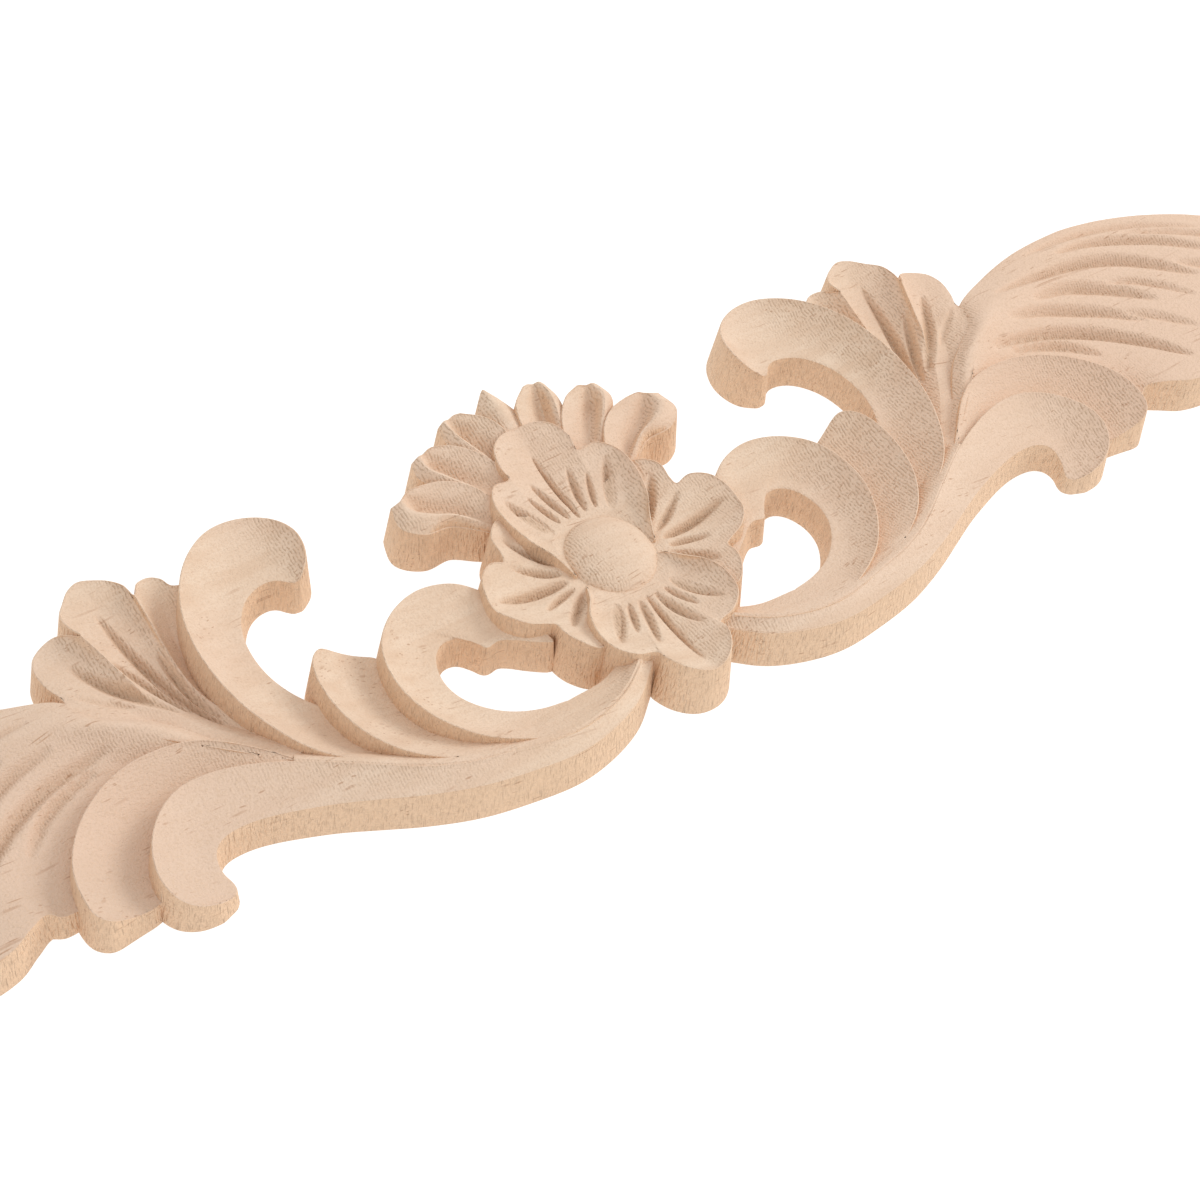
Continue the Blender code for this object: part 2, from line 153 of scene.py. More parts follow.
# a leaf between its crest and its low inner edge, hollowed most beside the crest
def scooped(outer, inner, power):
    outer = np.asarray(outer, float)
    inner = np.asarray(inner, float)
    rails = []
    for v in (0.0, 0.25, 0.5, 0.75, 1.0):
        rail = outer + (inner - outer) * v
        rail[:, 2] = inner[:, 2] + (outer[:, 2] - inner[:, 2]) * (1 - v) ** power
        rails.append(rail)
    return rails


# depth of gouges at places x, y: each gouge is its path, half width and depth
def gougeDepth(x, y, gouges):
    deepest = np.zeros_like(x)
    for points, halfWidth, depth in gouges:
        path = curveThrough(points, 20)
        away = np.full(x.shape, 1e9)
        along = np.zeros(x.shape)
        for k in range(len(path) - 1):
            start = path[k]
            run = path[k + 1] - start
            t = np.clip(((x - start[0]) * run[0] + (y - start[1]) * run[1]) / (run @ run), 0, 1)
            gap = np.hypot(x - start[0] - t * run[0], y - start[1] - t * run[1])
            nearer = gap < away
            away = np.where(nearer, gap, away)
            along = np.where(nearer, (k + t) / (len(path) - 1), along)
        swell = np.sqrt(np.abs(np.sin(np.pi * along)))
        width = halfWidth * (gouge["endWidth"] + gouge["swellWidth"] * swell)
        cut = depth * swell * np.clip(1 - (away / width) ** gouge["bowl"], 0, 1) ** gouge["lip"]
        deepest = np.maximum(deepest, cut)
    return deepest


# a mesh's vertices, in millimetres
def readPlaces(piece):
    places = np.zeros(len(piece.data.vertices) * 3)
    piece.data.vertices.foreach_get("co", places)
    return places.reshape(-1, 3) / mm


def writePlaces(piece, places):
    piece.data.vertices.foreach_set("co", (places * mm).ravel())
    piece.data.update()


# how far each place of a ring may move out before it meets its neighbours in a notch
def roomAround(ring):
    before = ring - np.roll(ring, 2, axis=0)
    after = np.roll(ring, -2, axis=0) - ring
    turn = before[:, 0] * after[:, 1] - before[:, 1] * after[:, 0]
    sizes = np.hypot(before[:, 0], before[:, 1]) * np.hypot(after[:, 0], after[:, 1])
    angle = np.arcsin(np.clip(turn / np.maximum(sizes, 1e-9), -1, 1))
    dot = before[:, 0] * after[:, 0] + before[:, 1] * after[:, 1]
    angle = np.where(dot < 0, np.sign(turn) * math.pi - angle, angle)
    reach = (np.hypot(before[:, 0], before[:, 1]) + np.hypot(after[:, 0], after[:, 1])) / 2
    tight = carving["notchRoom"] * reach / np.maximum(-angle, 1e-6)
    room = np.where(angle < -carving["notchTurn"], tight, 1e3)
    rise = carving["roomSlope"] * np.hypot(*(np.roll(ring, -1, axis=0) - ring)[:, :2].T)
    for _ in range(2):
        for k in range(len(ring)):
            room[k] = min(room[k], room[k - 1] + rise[k - 1])
        for k in range(len(ring) - 2, -2, -1):
            room[k] = min(room[k], room[(k + 1) % len(ring)] + rise[k])
    return room


# a closed block under a table of places, with a rounded rim and leaning sides, and its twin if paired
def addBlock(name, table, paired=True):
    rows, columns = table.shape[:2]
    deselectAll()
    bpy.ops.mesh.primitive_grid_add(x_subdivisions=rows - 1, y_subdivisions=columns - 1, size=1.0)
    block = bpy.context.active_object
    block.name = name
    start = readPlaces(block) * mm
    i = np.rint((start[:, 0] + 0.5) * (rows - 1)).astype(int)
    j = np.rint((start[:, 1] + 0.5) * (columns - 1)).astype(int)
    index = np.zeros((rows, columns), int)
    index[i, j] = np.arange(len(start))
    loop = edgeLoop(rows, columns)
    rim = table[loop[:, 0], loop[:, 1]]
    owner = index[loop[:, 0], loop[:, 1]]
    area = (rim[:, 0] * np.roll(rim[:, 1], -1) - np.roll(rim[:, 0], -1) * rim[:, 1]).sum() / 2
    if area < 0:
        rim = rim[::-1]
        owner = owner[::-1]
    tangent = np.roll(rim, -1, axis=0) - np.roll(rim, 1, axis=0)
    out = np.stack([tangent[:, 1], -tangent[:, 0]], axis=1)
    for _ in range(3):
        out /= np.maximum(np.hypot(out[:, 0], out[:, 1]), 1e-9)[:, None]
        out = 0.5 * out + 0.25 * (np.roll(out, 1, axis=0) + np.roll(out, -1, axis=0))
    out /= np.maximum(np.hypot(out[:, 0], out[:, 1]), 1e-9)[:, None]
    room = roomAround(rim)
    radius = carving["rimRadius"]
    inset = np.minimum(radius, room * 0.5)
    places = table[i, j].copy()
    places[owner, :2] = rim[:, :2] - out * inset[:, None]
    writePlaces(block, places)
    under = -carving["below"] - carving["stagger"] * len(blocks)
    lean = np.minimum((rim[:, 2] - under) * carving["draft"], room)
    shoulder = carving["rimShoulder"]
    rings = [
        (-shoulder * inset, rim[:, 2] - shoulder * radius),
        (0.0 * inset, rim[:, 2] - radius),
        (lean, np.full(len(rim), under)),
    ]
    bpy.ops.object.mode_set(mode="EDIT")
    bpy.ops.mesh.select_mode(type="EDGE")
    bpy.ops.mesh.select_all(action="SELECT")
    bpy.ops.mesh.region_to_loop()
    for shift, height in rings:
        count = len(block.data.vertices)
        bpy.ops.mesh.extrude_edges_move()
        bpy.ops.object.mode_set(mode="OBJECT")
        ends = np.zeros(len(block.data.edges) * 2, int)
        block.data.edges.foreach_get("vertices", ends)
        ends = np.sort(ends.reshape(-1, 2), axis=1)
        joins = ends[(ends[:, 0] < count) & (ends[:, 1] >= count)]
        follower = dict(joins.tolist())
        owner = np.array([follower[k] for k in owner])
        places = readPlaces(block)
        places[owner, :2] = rim[:, :2] + out * np.asarray(shift)[:, None]
        places[owner, 2] = height
        writePlaces(block, places)
        bpy.ops.object.mode_set(mode="EDIT")
    # the last ring is closed underneath
    bpy.ops.mesh.edge_face_add()
    bpy.ops.mesh.select_all(action="SELECT")
    bpy.ops.mesh.normals_make_consistent(inside=False)
    bpy.ops.object.mode_set(mode="OBJECT")
    if paired:
        bpy.ops.object.modifier_add(type="MIRROR")
        block.modifiers[-1].use_mirror_merge = False
        bpy.ops.object.modifier_apply(modifier=block.modifiers[-1].name)
    blocks.append(block)


def withHeights(places, heights):
    return [(x, y, z) for (x, y), z in zip(places, heights)]


stem = {
    "ridge": [(5, -16), (9.4, -20.8), (14.5, -24.3), (20, -26), (26, -26.5), (33, -25.1), (40.5, -23.5),
              (47, -20.8), (52.5, -17.2), (57, -14.2), (61, -11.6), (66, -9.1), (70.5, -7.4), (75, -6.4),
              (79.5, -6.6), (83.3, -8.6), (86.3, -11.8), (88.1, -15.5), (88.5, -18.8), (87.4, -21.6),
              (85, -23.3), (82, -23.8)],
    "edge": [(3.4, -18.2), (8.1, -22.2), (12.3, -25.6), (18, -28), (25, -29.3), (33, -28.6), (41, -27.1),
             (48.5, -24.4), (54.5, -21.6), (60, -19), (65, -17.1), (69, -15.8), (72.3, -15.1), (75, -15),
             (76.9, -15.3), (78.2, -16), (79, -17), (79.3, -18.2), (79.2, -19.6), (78.7, -20.9),
             (78.6, -22), (79.4, -23)],
    "ridgeHeight": [7.6, 8.6, 9.0, 9.0, 9.0, 9.0, 9.0, 9.0, 9.0, 9.0, 9.0, 9.2, 9.3, 9.3, 9.3, 9.3, 9.3,
                    9.2, 8.4, 7.0, 5.6, 4.6],
    "edgeHeight": [7.0, 7.2, 7.4, 7.4, 7.4, 7.4, 7.4, 7.2, 7.0, 6.7, 6.5, 6.3, 6.2, 6.1, 6.0, 5.8, 5.4,
                   4.8, 4.2, 3.7, 3.3, 3.4],
    "hollow": 1.5,
    "roundPasses": 4,        # how far the corners of its outline are rounded
    "upper": [(4, -14, 6.2), (10.5, -17.6, 6.3), (15, -19.4, 6.4), (21, -19.9, 6.5), (27.5, -20.4, 6.6),
              (34.2, -20.9, 6.6), (40.6, -19.4, 6.4), (46.8, -16.4, 6.2), (52.6, -12.6, 6.2),
              (57.6, -9.8, 6.2), (61.2, -7.8, 6.4)],
    "shoulder": [(5, -15.8, 7.2), (10, -19.4, 7.3), (14.9, -21.8, 7.4), (21.4, -23.0, 7.5),
                 (28.2, -23.5, 7.9), (35.2, -22.9, 8.2), (42, -20.9, 8.3), (48.3, -17.8, 8.3),
                 (54, -14.1, 8.3), (58.7, -11.3, 8.3), (62.2, -9.2, 8.3)],
    "crease": [(6, -17.5, 8.5), (9.6, -20.8, 8.7), (14.8, -24.2, 8.9), (22, -26.3, 9.0), (29, -26.0, 9.0),
               (36, -24.5, 9.0), (43, -22.6, 9.0), (49.5, -19.2, 9.0), (55, -15.6, 9.0),
               (59.5, -12.6, 9.0), (63, -10.5, 9.1)],
    "under": [(5.5, -18.5, 7.0), (9, -21.6, 7.2), (14.2, -25.2, 7.4), (22, -27.3, 7.4), (29, -27, 7.4),
              (36.4, -25.5, 7.4), (43.5, -23.6, 7.4), (50.1, -20.1, 7.4), (55.6, -16.5, 7.4),
              (60.1, -13.5, 7.4), (63.6, -11.4, 7.5)],
}


def carveStem():
    ridge = withHeights(stem["ridge"], stem["ridgeHeight"])
    edge = withHeights(stem["edge"], stem["edgeHeight"])
    table = railTable(scooped(ridge, edge, stem["hollow"]), carving["step"])
    addBlock("stemAndHook", roundCorners(table, stem["roundPasses"]))
    rails = [stem[key] for key in ("upper", "shoulder", "crease", "under")]
    addBlock("stemUpperFace", railTable(rails, carving["step"]))


scroll = {
    "outer": [(18.5, -1, 6.6), (21.6, 2.8, 7.6), (25, 5.4, 9.0), (28, 6.7, 9.3), (31.6, 7.1, 9.5),
              (35.6, 6.0, 9.7), (39, 3.8, 9.8), (41.6, 0.8, 9.8), (43.1, -3.5, 9.8), (43.3, -9, 9.8),
              (41.6, -14.6, 9.6), (37.6, -20.3, 9.3), (33.6, -23.2, 9.1), (29.4, -25.1, 8.7),
              (24.6, -26.2, 8.2)],
    "inner": [(17, -10.4, 6.8), (20.4, -8.0, 6.6), (22.6, -6.2, 6.4), (24.4, -5.3, 6.3),
              (26.5, -5.6, 6.2), (27.5, -4.0, 6.2), (29.3, -1.9, 6.2), (31.8, -1.5, 6.2), (34, -3, 6.2),
              (35.5, -6.6, 6.2), (35.3, -10.6, 6.3), (33.4, -14.2, 6.4), (30, -17.4, 6.5),
              (25.5, -19.3, 6.5), (20.6, -19.9, 6.4)],
    "roundPasses": 5,
}

smallLeaf = {
    "outer": [(49.4, 5.6, 9.0), (51.9, 3.5, 9.6), (53.2, -0.8, 9.8), (53.3, -5.6, 9.8), (52.3, -10.8, 9.7),
              (50, -15.3, 9.5), (47, -18.7, 9.2), (43, -21.3, 8.7), (38.4, -23.2, 8.3)],
    "inner": [(41, 2.2, 4.8), (41.3, -1.8, 5.0), (41.6, -5, 5.0), (41.5, -9, 5.0), (40, -13.7, 5.4),
              (37.5, -17.6, 6.2), (34.6, -20.8, 7.2), (31.6, -22.9, 8.0), (28.6, -24.4, 8.2)],
    "roundPasses": 10,
}

curl = {
    "outer": [(44.5, 19.1, 7.2), (42.2, 21.2, 8.9), (41.3, 25.6, 9.8), (43.1, 30.2, 9.3), (47.5, 33.1, 8.9),
              (52.5, 33.3, 9.0), (57.3, 30.6, 9.6), (61.3, 26.2, 10), (64.2, 20.5, 10), (65.6, 14, 10),
              (65.7, 7.5, 10), (64.8, 1, 10), (62.9, -4.6, 9.8), (60.4, -9.4, 9.4), (57.2, -12.9, 8.9),
              (52.6, -15.8, 8.4)],
    "inner": [(45.6, 19.2, 6.8), (46.4, 20.0, 6.6), (47.2, 20.9, 6.5), (48.4, 21.5, 6.4), (49.8, 21.6, 6.3),
              (51.3, 21.3, 6.2), (53.2, 20.3, 6.2), (55.1, 18.3, 6.2), (56.6, 15.6, 6.2), (57.6, 11.5, 6.2),
              (57.4, 6, 6.2), (55.4, 0.8, 5.8), (51.3, -4.5, 5.0), (50.3, -10.5, 5.4), (47.4, -16.4, 6.8),
              (43.4, -20.6, 8.0)],
    "roundPasses": 6,
}

secondLobe = {
    "outer": [(61.5, -10.6, 8.2), (65, -7.2, 9.0), (69.5, -2.8, 9.1), (74, 0, 9.1), (79, 0.9, 9.1),
              (84, 0.6, 9.1), (88.5, -1, 9.1), (92.7, -3.8, 9.1), (96, -7.3, 9.1), (98.2, -11.3, 9.1),
              (98.9, -15.3, 8.8), (98.6, -18.6, 8.0), (96.9, -20.2, 7.2)],
    "inner": [(60.8, -11.9, 8.0), (64.5, -10.3, 8.2), (69, -9, 7.5), (73, -8.2, 6.6), (76.5, -8, 5.8),
              (79.5, -8.4, 5.2), (82, -10, 4.6), (84, -12, 4.2), (85.5, -14, 4.0), (86.3, -16, 3.9),
              (86.9, -17.5, 3.9), (87.6, -18.6, 3.9), (90, -19.6, 4.2)],
    "roundPasses": 8,
}


def carveLeaves():
    for name, leaf in (("cScroll", scroll), ("smallLeaf", smallLeaf), ("tallCurl", curl),
                       ("secondLobe", secondLobe)):
        rails = scooped(leaf["outer"], leaf["inner"], carving["hollow"])
        addBlock(name, roundCorners(railTable(rails, carving["step"]), leaf["roundPasses"]))


fan = {
    "outer": [(59.5, 27.3, 7.0), (61.7, 28.2, 7.0), (62.5, 30.1, 7.0), (64.0, 31.2, 7.0), (66.3, 30.6, 7.4),
              (68.0, 28.0, 8.3), (68.2, 31, 7.6), (69.5, 33.3, 7.1), (71.2, 34.6, 7.0), (73.6, 35.6, 7.0),
              (75.6, 34.8, 7.0), (77.5, 32.7, 7.2), (79.2, 30.2, 7.8), (79.3, 27, 8.5), (78.6, 24.3, 9.2),
              (80.3, 26.6, 8.0), (81.6, 27.5, 7.3), (83.8, 27.1, 7.0), (86, 25.5, 7.0), (86.9, 22.7, 7.0),
              (86.5, 19.5, 6.9), (85.6, 16.8, 6.9), (86.6, 11.9, 8.5)],
    "middleStart": (64.0, 10.0, 3.9),      # the middle rail runs from here
    "middleRun": (13.8, -7.0, 4.8),        # by this much
    "middleBend": (1, 2, 1.35),            # and bends by these powers
    "innerStart": (61.3, -3.0, 6.4),
    "innerRun": (-0.8, -9.2, 2.0),
    "step": 0.42,
    "scoop": [(0, 0.9), (0.136, 1), (0.227, 0), (0.41, 1), (0.636, 0), (0.80, 1), (0.955, 0.1), (1, 0)],
    "scoopDepth": 1.25,
    "fadeStart": 0.1,        # the scoops fade from the rim inwards
    "fadeRun": 0.95,
    "fadePower": 0.8,
    "gouges": [
        ([(69.2, 19), (68.9, 14), (68.2, 9), (66.4, 3.5)], 1.0, 1.2),
        ([(73.9, 29), (73.0, 22), (71.7, 16), (70.3, 11), (68.6, 6.5), (66.9, 2)], 1.3, 1.6),
        ([(76.4, 20), (74, 15), (72, 11), (69.6, 6)], 1.1, 1.3),
        ([(82, 22), (78.8, 16.2), (75.3, 11.6), (71.6, 7)], 1.5, 1.5),
        ([(84, 16.4), (81, 14), (77, 10.6)], 1.0, 0.5),
    ],
}


def carveFan():
    last = len(fan["outer"]) - 1
    middle = []
    inner = []
    for k in range(last + 1):
        s = k / last
        bent = zip(fan["middleStart"], fan["middleRun"], fan["middleBend"])
        middle.append([start + run * s ** power for start, run, power in bent])
        inner.append([start + run * s for start, run in zip(fan["innerStart"], fan["innerRun"])])
    table = railTable([fan["outer"], middle, inner], fan["step"])
    u = np.linspace(0, 1, table.shape[0])[:, None]
    v = np.linspace(0, 1, table.shape[1])[None, :]
    fade = np.sin(math.pi * np.minimum(1.0, fan["fadeStart"] + fan["fadeRun"] * v)) ** fan["fadePower"]
    table[..., 2] -= fan["scoopDepth"] * between(u, fan["scoop"]) * fade
    table[..., 2] -= gougeDepth(table[..., 0], table[..., 1], fan["gouges"])
    addBlock("fan", table)


longLeaf = {
    "upper": [(84.2, 14.5, 5.0), (85.8, 16.3, 6.8), (94, 19.8, 6.7), (103.5, 22.2, 6.6), (113.5, 22.8, 6.6),
              (116.6, 22.6, 6.6), (119.8, 22.1, 6.6), (124, 21.2, 6.6), (132, 18.5, 6.6),
              (140.8, 13.9, 6.6), (148, 8, 6.4), (152.5, 1.5, 6.2)],
    "ridge": [(82.0, 10.6, 7.4), (84, 10.1, 9.0), (92, 12.9, 8.8), (101, 14.6, 8.5), (110, 15.0, 8.3),
              (113.3, 14.8, 8.3), (116.6, 14.4, 8.2), (121, 13.5, 8.2), (129.5, 10.9, 8.1),
              (138, 6.7, 7.8), (146, 2.3, 7.4), (152.9, -1, 6.6)],
    "body": [(75.0, 5.3, 7.4), (77, 4.4, 9.0), (87, 6.3, 7.3), (96.5, 7.3, 6.8), (106.5, 7.2, 6.8),
             (109.8, 6.8, 6.9), (113.1, 6.2, 6.9), (117.5, 5.3, 7.0), (126, 3, 7.1), (135, -0.5, 7.0),
             (144, -3, 6.8), (152.5, -3, 6.3)],
    "lower": [(67.4, -4.2, 6.6), (69.3, -4.8, 7.4), (79, -3.5, 5.2), (91, -4.5, 5.0), (101.5, -6, 5.6),
              (104.6, -6.5, 5.9), (107.8, -7, 6.2), (112, -7.6, 6.5), (120.5, -8, 6.8), (130.5, -8, 6.9),
              (141, -7, 6.7), (151, -4.5, 6.3)],
    "outline": [(63.6, -9.6, 6.4), (65.4, -10.6, 6.8), (76, -9, 4.8), (90, -13, 4.2), (101.3, -14.9, 4.8),
                (103.4, -14.0, 5.8), (106.4, -15.4, 6.7), (110.2, -17.5, 7.1), (117, -18.2, 7.1),
                (127, -14.8, 7.0), (139, -10.2, 6.8), (149, -6, 6.4)],
    "gouges": [
        ([(87, 3.6), (92, 2.6), (97, 0), (101.5, -4.6)], 1.5, 1.2),
        ([(84, 5.4), (90, 5.2), (96, 3.9), (101.5, 1.2), (107, -3), (112, -8.5), (115, -13)], 1.8, 1.7),
        ([(91, 9.4), (98, 8.2), (104, 5.4), (109, 2.2), (114, -2.4)], 1.7, 1.4),
        ([(98, 10.8), (105, 10.2), (110, 8), (115, 4.6), (119, 0.6)], 1.8, 1.5),
        ([(92, 14.6), (102, 14.4), (111, 13.4), (118, 11), (124, 7), (130, 1.6)], 1.8, 1.6),
        ([(109, 17.6), (116, 16.8), (123, 14), (129, 10.6), (136, 5)], 1.8, 1.5),
        ([(104, 20.4), (115, 20), (127, 17), (139, 10.4)], 1.4, 0.9),
        ([(113, 8), (118, 5.8), (122, 2.6), (126, -2)], 1.1, 0.9),
        ([(111, 1.6), (116, -2.4), (121, -8)], 1.4, 0.9),
        ([(124, 16.2), (134, 11), (143, 4.4)], 1.4, 0.9),
        ([(128, 5.8), (134, 1.4), (138, -4)], 1.4, 0.9),
    ],
    "step": 0.46,
    "stepAcross": 0.42,
    "gougeShadeShare": 0.55,       # its gouges get less painted shade than the flower's and the fan's
}


def carveLongLeaf():
    rails = [longLeaf[key] for key in ("upper", "ridge", "body", "lower", "outline")]
    table = railTable(rails, longLeaf["step"], longLeaf["stepAcross"])
    table[..., 2] -= gougeDepth(table[..., 0], table[..., 1], longLeaf["gouges"])
    addBlock("longLeaf", table)


flower = {
    "side": [(7, 12.5, 7.4), (12.3, 13.4, 8.8), (14.6, 12, 9.7), (16.2, 9.8, 9.8), (16.2, 7, 9.3),
             (16.6, 5.7, 9.0), (19, 5.9, 9.7), (21.8, 3.9, 10.08), (23.1, 0.6, 9.8), (23.2, -2, 9.4),
             (22.3, -4.7, 10.08), (20.2, -7, 9.8), (17.4, -8.1, 9.2), (16.4, -8.6, 9.0),
             (16.4, -10.8, 9.5), (15.5, -13.4, 9.8), (13.2, -15.8, 9.2), (8, -14.5, 7.4)],
    "upper": [(7.6, -1.5, 7.6), (9, 2.2, 9.0), (11, 6, 9.8), (12.2, 11, 10.08), (12, 15.6, 10.08),
              (9.8, 18.9, 9.7), (6.6, 19.4, 9.1), (6.8, 22, 9.8), (5.6, 25.4, 10.08),
              (3, 27.3, 9.9), (0, 27.7, 9.4)],
    "lower": [(7.4, -4, 7.6), (9, -7, 8.9), (11.3, -10.2, 9.8), (12.3, -14, 10.08),
              (11.6, -17.6, 10.08), (9, -20, 9.7), (6.1, -20.7, 9.1), (5.9, -22.6, 9.8),
              (4.6, -25.4, 10.08), (2.4, -27.4, 9.9), (0, -28, 9.4)],
    "sideAngles": (62, -70),        # degrees round the boss where each petal starts and ends
    "upperAngles": (-8, 188),
    "lowerAngles": (-22, -158),
    "step": 0.42,
    "stepAcross": 0.32,
    "scoopDepth": 0.95,
    "fadeReach": 0.8,        # the scoops fade out this far down the petal
    "fadePower": 0.8,
    "sag": 0.25,
    "crossedScoop": [(0, 0), (0.19, 0.7), (0.3, 0), (0.5, 1), (0.7, 0), (0.81, 0.7), (1, 0)],
    "sideScoop": [(0, 0), (0.15, 0.7), (0.294, 0), (0.53, 1), (0.765, 0), (0.88, 0.7), (1, 0)],
    "upperGouges": [
        ([(0, 8.6), (0, 14), (0, 22.5)], 0.7, 1.1),
        ([(1.6, 9.2), (2.4, 13), (3.6, 17.6)], 0.9, 1.2),
        ([(3.4, 9.0), (4.4, 11.8), (5.7, 15.2)], 0.7, 1.0),
        ([(5.6, 7.6), (7.4, 11.2), (9.8, 16)], 1.2, 1.3),
    ],
    "lowerGouges": [
        ([(0, -9.6), (0, -15), (0, -25)], 0.7, 1.1),
        ([(1.5, -10.0), (2.4, -14), (4.2, -19)], 1.0, 1.2),
        ([(3.4, -9.8), (4.4, -12.4), (5.8, -15.6)], 0.8, 1.0),
        ([(5.2, -8.8), (6.8, -12), (9.6, -16.6)], 1.2, 1.3),
    ],
    "sideGouges": [
        ([(8.0, 1.8), (11, 5.0), (14.2, 9.4)], 1.2, 1.3),
        ([(9.0, 0.2), (12, 1.8), (16, 4.4)], 1.0, 1.2),
        ([(9.0, -1.4), (14, -1.2), (21.6, -0.4)], 1.2, 1.4),
        ([(9.0, -3.1), (12, -3.8), (15.6, -5.2)], 0.9, 1.1),
        ([(8.0, -4.6), (10.6, -6.8), (14, -10)], 1.4, 1.3),
    ],
    "bossWide": 14.8,
    "bossTall": 16.0,
    "bossFoot": 6.7,
    "bossTop": 9.2,
    "bossSink": 0.6,         # the dome starts this far under the petals' feet
    "ringShare": 0.44,       # the petals end at this share of the boss's width
    "coreShare": 0.46,
}


def mirrored(points):
    return points + [(-x, y, z) for x, y, z in reversed(points[:-1])]


def mirroredGouges(gouges):
    twins = []
    for points, halfWidth, depth in gouges:
        twins.append((points, halfWidth, depth))
        if abs(points[-1][0]) > 0.01:
            twins.append(([(-x, y) for x, y in points], halfWidth, depth))
    return twins


def carvePetal(name, rim, angles, scoop, gouges, paired):
    start, end = angles
    count = len(rim)
    ring = []
    for k in range(count):
        a = math.radians(start + (end - start) * k / (count - 1))
        ring.append((flower["ringShare"] * flower["bossWide"] * math.cos(a),
                     flower["ringShare"] * flower["bossTall"] * math.sin(a), flower["bossFoot"]))
    table = railTable([rim, ring], flower["step"], flower["stepAcross"])
    u = np.linspace(0, 1, table.shape[0])[:, None]
    v = np.linspace(0, 1, table.shape[1])[None, :]
    fade = np.sin(math.pi * np.clip(v / flower["fadeReach"], 0, 1)) ** flower["fadePower"]
    table[..., 2] -= flower["scoopDepth"] * between(u, scoop) * fade + flower["sag"] * np.sin(math.pi * v)
    table[..., 2] -= gougeDepth(table[..., 0], table[..., 1], gouges)
    addBlock(name, table, paired)


def carveFlower():
    scoop = flower["crossedScoop"]
    carvePetal("sidePetal", flower["side"], flower["sideAngles"], flower["sideScoop"], flower["sideGouges"],
               True)
    carvePetal("upperPetal", mirrored(flower["upper"]), flower["upperAngles"], scoop,
               mirroredGouges(flower["upperGouges"]), False)
    carvePetal("lowerPetal", mirrored(flower["lower"]), flower["lowerAngles"], scoop,
               mirroredGouges(flower["lowerGouges"]), False)


# the last primitive added, given its size and lifted, as one more block
def keepBlock(name, size, lift):
    block = bpy.context.active_object
    block.name = name
    places = readPlaces(block) * mm
    places *= size
    places[:, 2] += lift
    writePlaces(block, places)
    blocks.append(block)


def carveBoss():
    wide = flower["bossWide"]
    tall = flower["bossTall"]
    base = flower["bossFoot"] - flower["bossSink"]
    deselectAll()
    bpy.ops.mesh.primitive_uv_sphere_add(segments=64, ring_count=32, radius=1.0)
    rise = flower["bossTop"] - flower["bossFoot"] + flower["bossSink"]
    keepBlock("bossDome", [wide / 2, tall / 2, rise], base)
    deselectAll()
    bpy.ops.mesh.primitive_cylinder_add(vertices=48, radius=1.0, depth=1.0)
    height = base + 2 * carving["below"]
    size = [flower["coreShare"] * wide, flower["coreShare"] * tall, height]
    keepBlock("bossCore", size, height / 2 - 2 * carving["below"])


